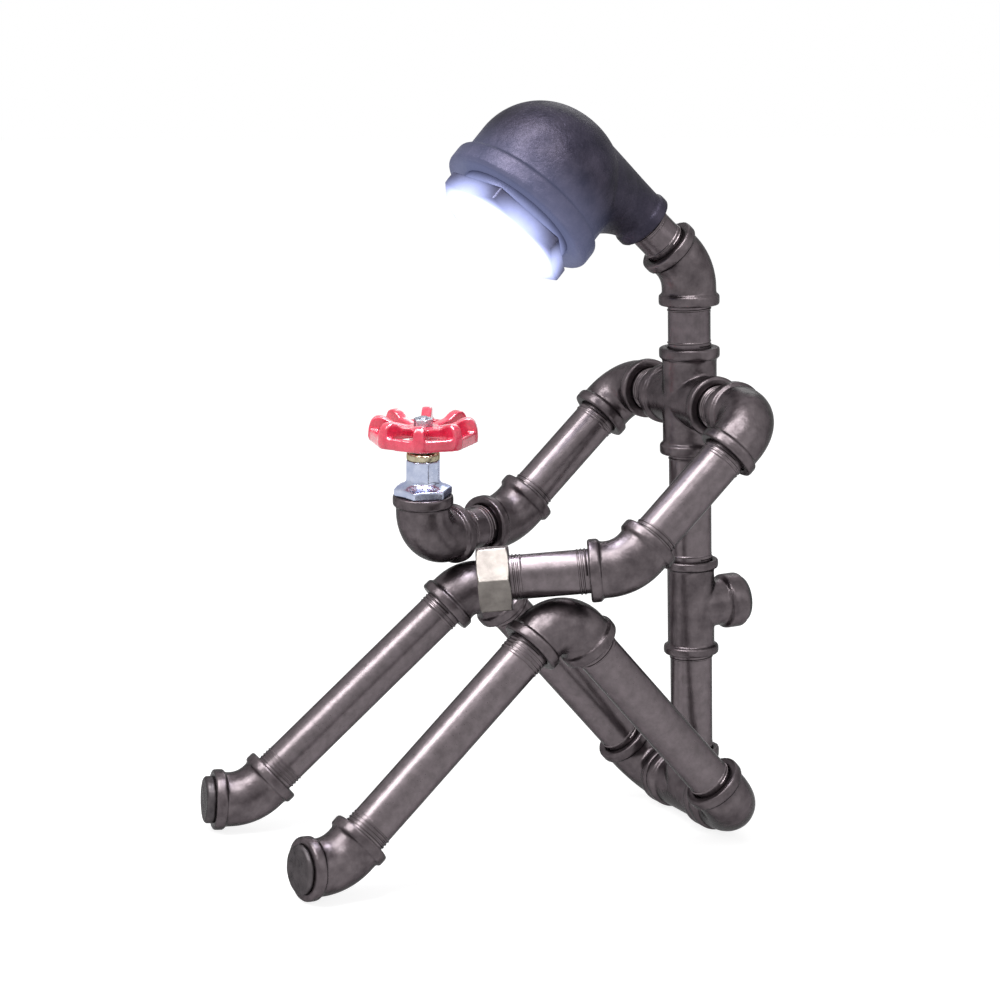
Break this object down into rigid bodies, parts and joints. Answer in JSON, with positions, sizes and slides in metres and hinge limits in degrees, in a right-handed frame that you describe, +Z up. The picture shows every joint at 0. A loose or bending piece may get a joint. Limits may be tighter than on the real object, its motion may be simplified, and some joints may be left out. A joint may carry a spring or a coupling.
{
  "type": "robot shaped desk lamp",
  "caption": "Seated robot figure of screwed black pipe and fittings, with a lamp in its head, a tap wheel switch in one hand, and turning neck, head, shoulders, elbows and wrist",
  "frame": {"origin": "middle of the base of the lamp's bounding box, on the surface that it sits on", "axes": "+Z up, the figure faces -Y, its left side is +X"},
  "size_m": [0.161, 0.2696, 0.3654],
  "materials": {
    "casting": "dark lacquered malleable casting, satin with a bronze cast",
    "pipe": "black pipe under clear lacquer, semi gloss with a bronze cast",
    "plug": "dark grey plug, satin",
    "cap": "plain steel hexagon cap",
    "lamp_ring": "blued dark steel ring",
    "lens": "frosted glass",
    "gasket": "black rubber",
    "reflector": "bright metallised cup",
    "board": "white board with yellow diodes",
    "sink": "plain aluminium fins",
    "chrome": "polished chrome",
    "gland": "dull nickelled brass",
    "switch": "plated steel can",
    "steel": "zinc plated steel",
    "red_enamel": "glossy crimson enamel on a casting",
    "wiring": "black sheathed lead",
    "splice": "white wire joint block"
  },
  "bodies": {
    "frame": {"hip_tee": "casting", "lower_spine_pipe": "pipe", "cable_tee": "casting", "cable_grommet": "gasket", "upper_spine_pipe": "pipe", "shoulder_cross": "casting", "left_shoulder_nipple": "pipe", "right_shoulder_nipple": "pipe", "wire_splice": "splice", "supply_lead": "wiring", "left_hip_nipple": "pipe", "left_hip_elbow": "casting", "left_thigh_pipe": "pipe", "left_knee_elbow": "casting", "left_shin_pipe": "pipe", "left_ankle_elbow": "casting", "left_toe_plug": "plug", "right_hip_nipple": "pipe", "right_hip_elbow": "casting", "right_thigh_pipe": "pipe", "right_knee_elbow": "casting", "right_shin_pipe": "pipe", "right_ankle_elbow": "casting", "right_toe_plug": "plug"},
    "neck": {"neck_pipe": "pipe", "neck_bend": "casting", "head_nipple": "pipe", "neck_lead": "wiring"},
    "head": {"head_elbow": "casting", "lens_ring": "lamp_ring", "lens": "lens", "lens_gasket": "gasket", "reflector": "reflector", "led_board": "board", "heat_sink": "sink", "head_lead": "wiring"},
    "left_arm": {"left_shoulder_elbow": "casting", "left_upper_arm_pipe": "pipe"},
    "left_forearm": {"left_arm_bend": "casting", "left_forearm_pipe": "pipe", "left_hand_cap": "cap"},
    "right_arm": {"right_shoulder_elbow": "casting", "right_upper_arm_pipe": "pipe", "arm_lead": "wiring"},
    "right_forearm": {"right_arm_bend": "casting", "right_forearm_nipple": "pipe", "forearm_lead": "wiring"},
    "right_hand": {"right_wrist_elbow": "casting", "valve_bonnet": "chrome", "switch_can": "switch", "gland_nut": "gland", "hand_lead": "wiring"},
    "wheel": {"switch_spindle": "steel", "hand_wheel": "red_enamel", "wheel_nut": "steel"}
  },
  "joints": [
    {"name": "neck_swivel", "type": "hinge", "parent": "frame", "child": "neck", "pos_m": [0, 0.0986, 0.24405], "axis": [0, -0.0471, 0.9989], "range_deg": [-60, 60]},
    {"name": "head_roll", "type": "hinge", "parent": "neck", "child": "head", "pos_m": [-0.00137, 0.07194, 0.30572], "axis": [-0.0407, -0.7385, 0.6731], "range_deg": [-45, 45]},
    {"name": "left_shoulder_swing", "type": "hinge", "parent": "frame", "child": "left_arm", "pos_m": [0.0411, 0.09987, 0.21708], "axis": [-1, 0, 0], "range_deg": [0, 25]},
    {"name": "left_elbow_turn", "type": "hinge", "parent": "left_arm", "child": "left_forearm", "pos_m": [0.0653, 0.04422, 0.16143], "axis": [0, -0.7071, -0.7071], "range_deg": [-75, 0]},
    {"name": "right_shoulder_swing", "type": "hinge", "parent": "frame", "child": "right_arm", "pos_m": [-0.0411, 0.09987, 0.21708], "axis": [-1, 0, 0], "range_deg": [0, 25]},
    {"name": "right_elbow_turn", "type": "hinge", "parent": "right_arm", "child": "right_forearm", "pos_m": [-0.0653, 0.04422, 0.16143], "axis": [0, -0.7071, -0.7071], "range_deg": [0, 60]},
    {"name": "right_wrist_turn", "type": "hinge", "parent": "right_forearm", "child": "right_hand", "pos_m": [-0.05263, -0.00273, 0.14628], "axis": [0.3471, -0.9356, -0.0644], "range_deg": [-25, 25]},
    {"name": "switch_turn", "type": "hinge", "parent": "right_hand", "child": "wheel", "pos_m": [-0.04271, -0.02647, 0.16885], "axis": [0.0626, -0.0454, 0.997], "range_deg": [0, 270]}
  ]
}
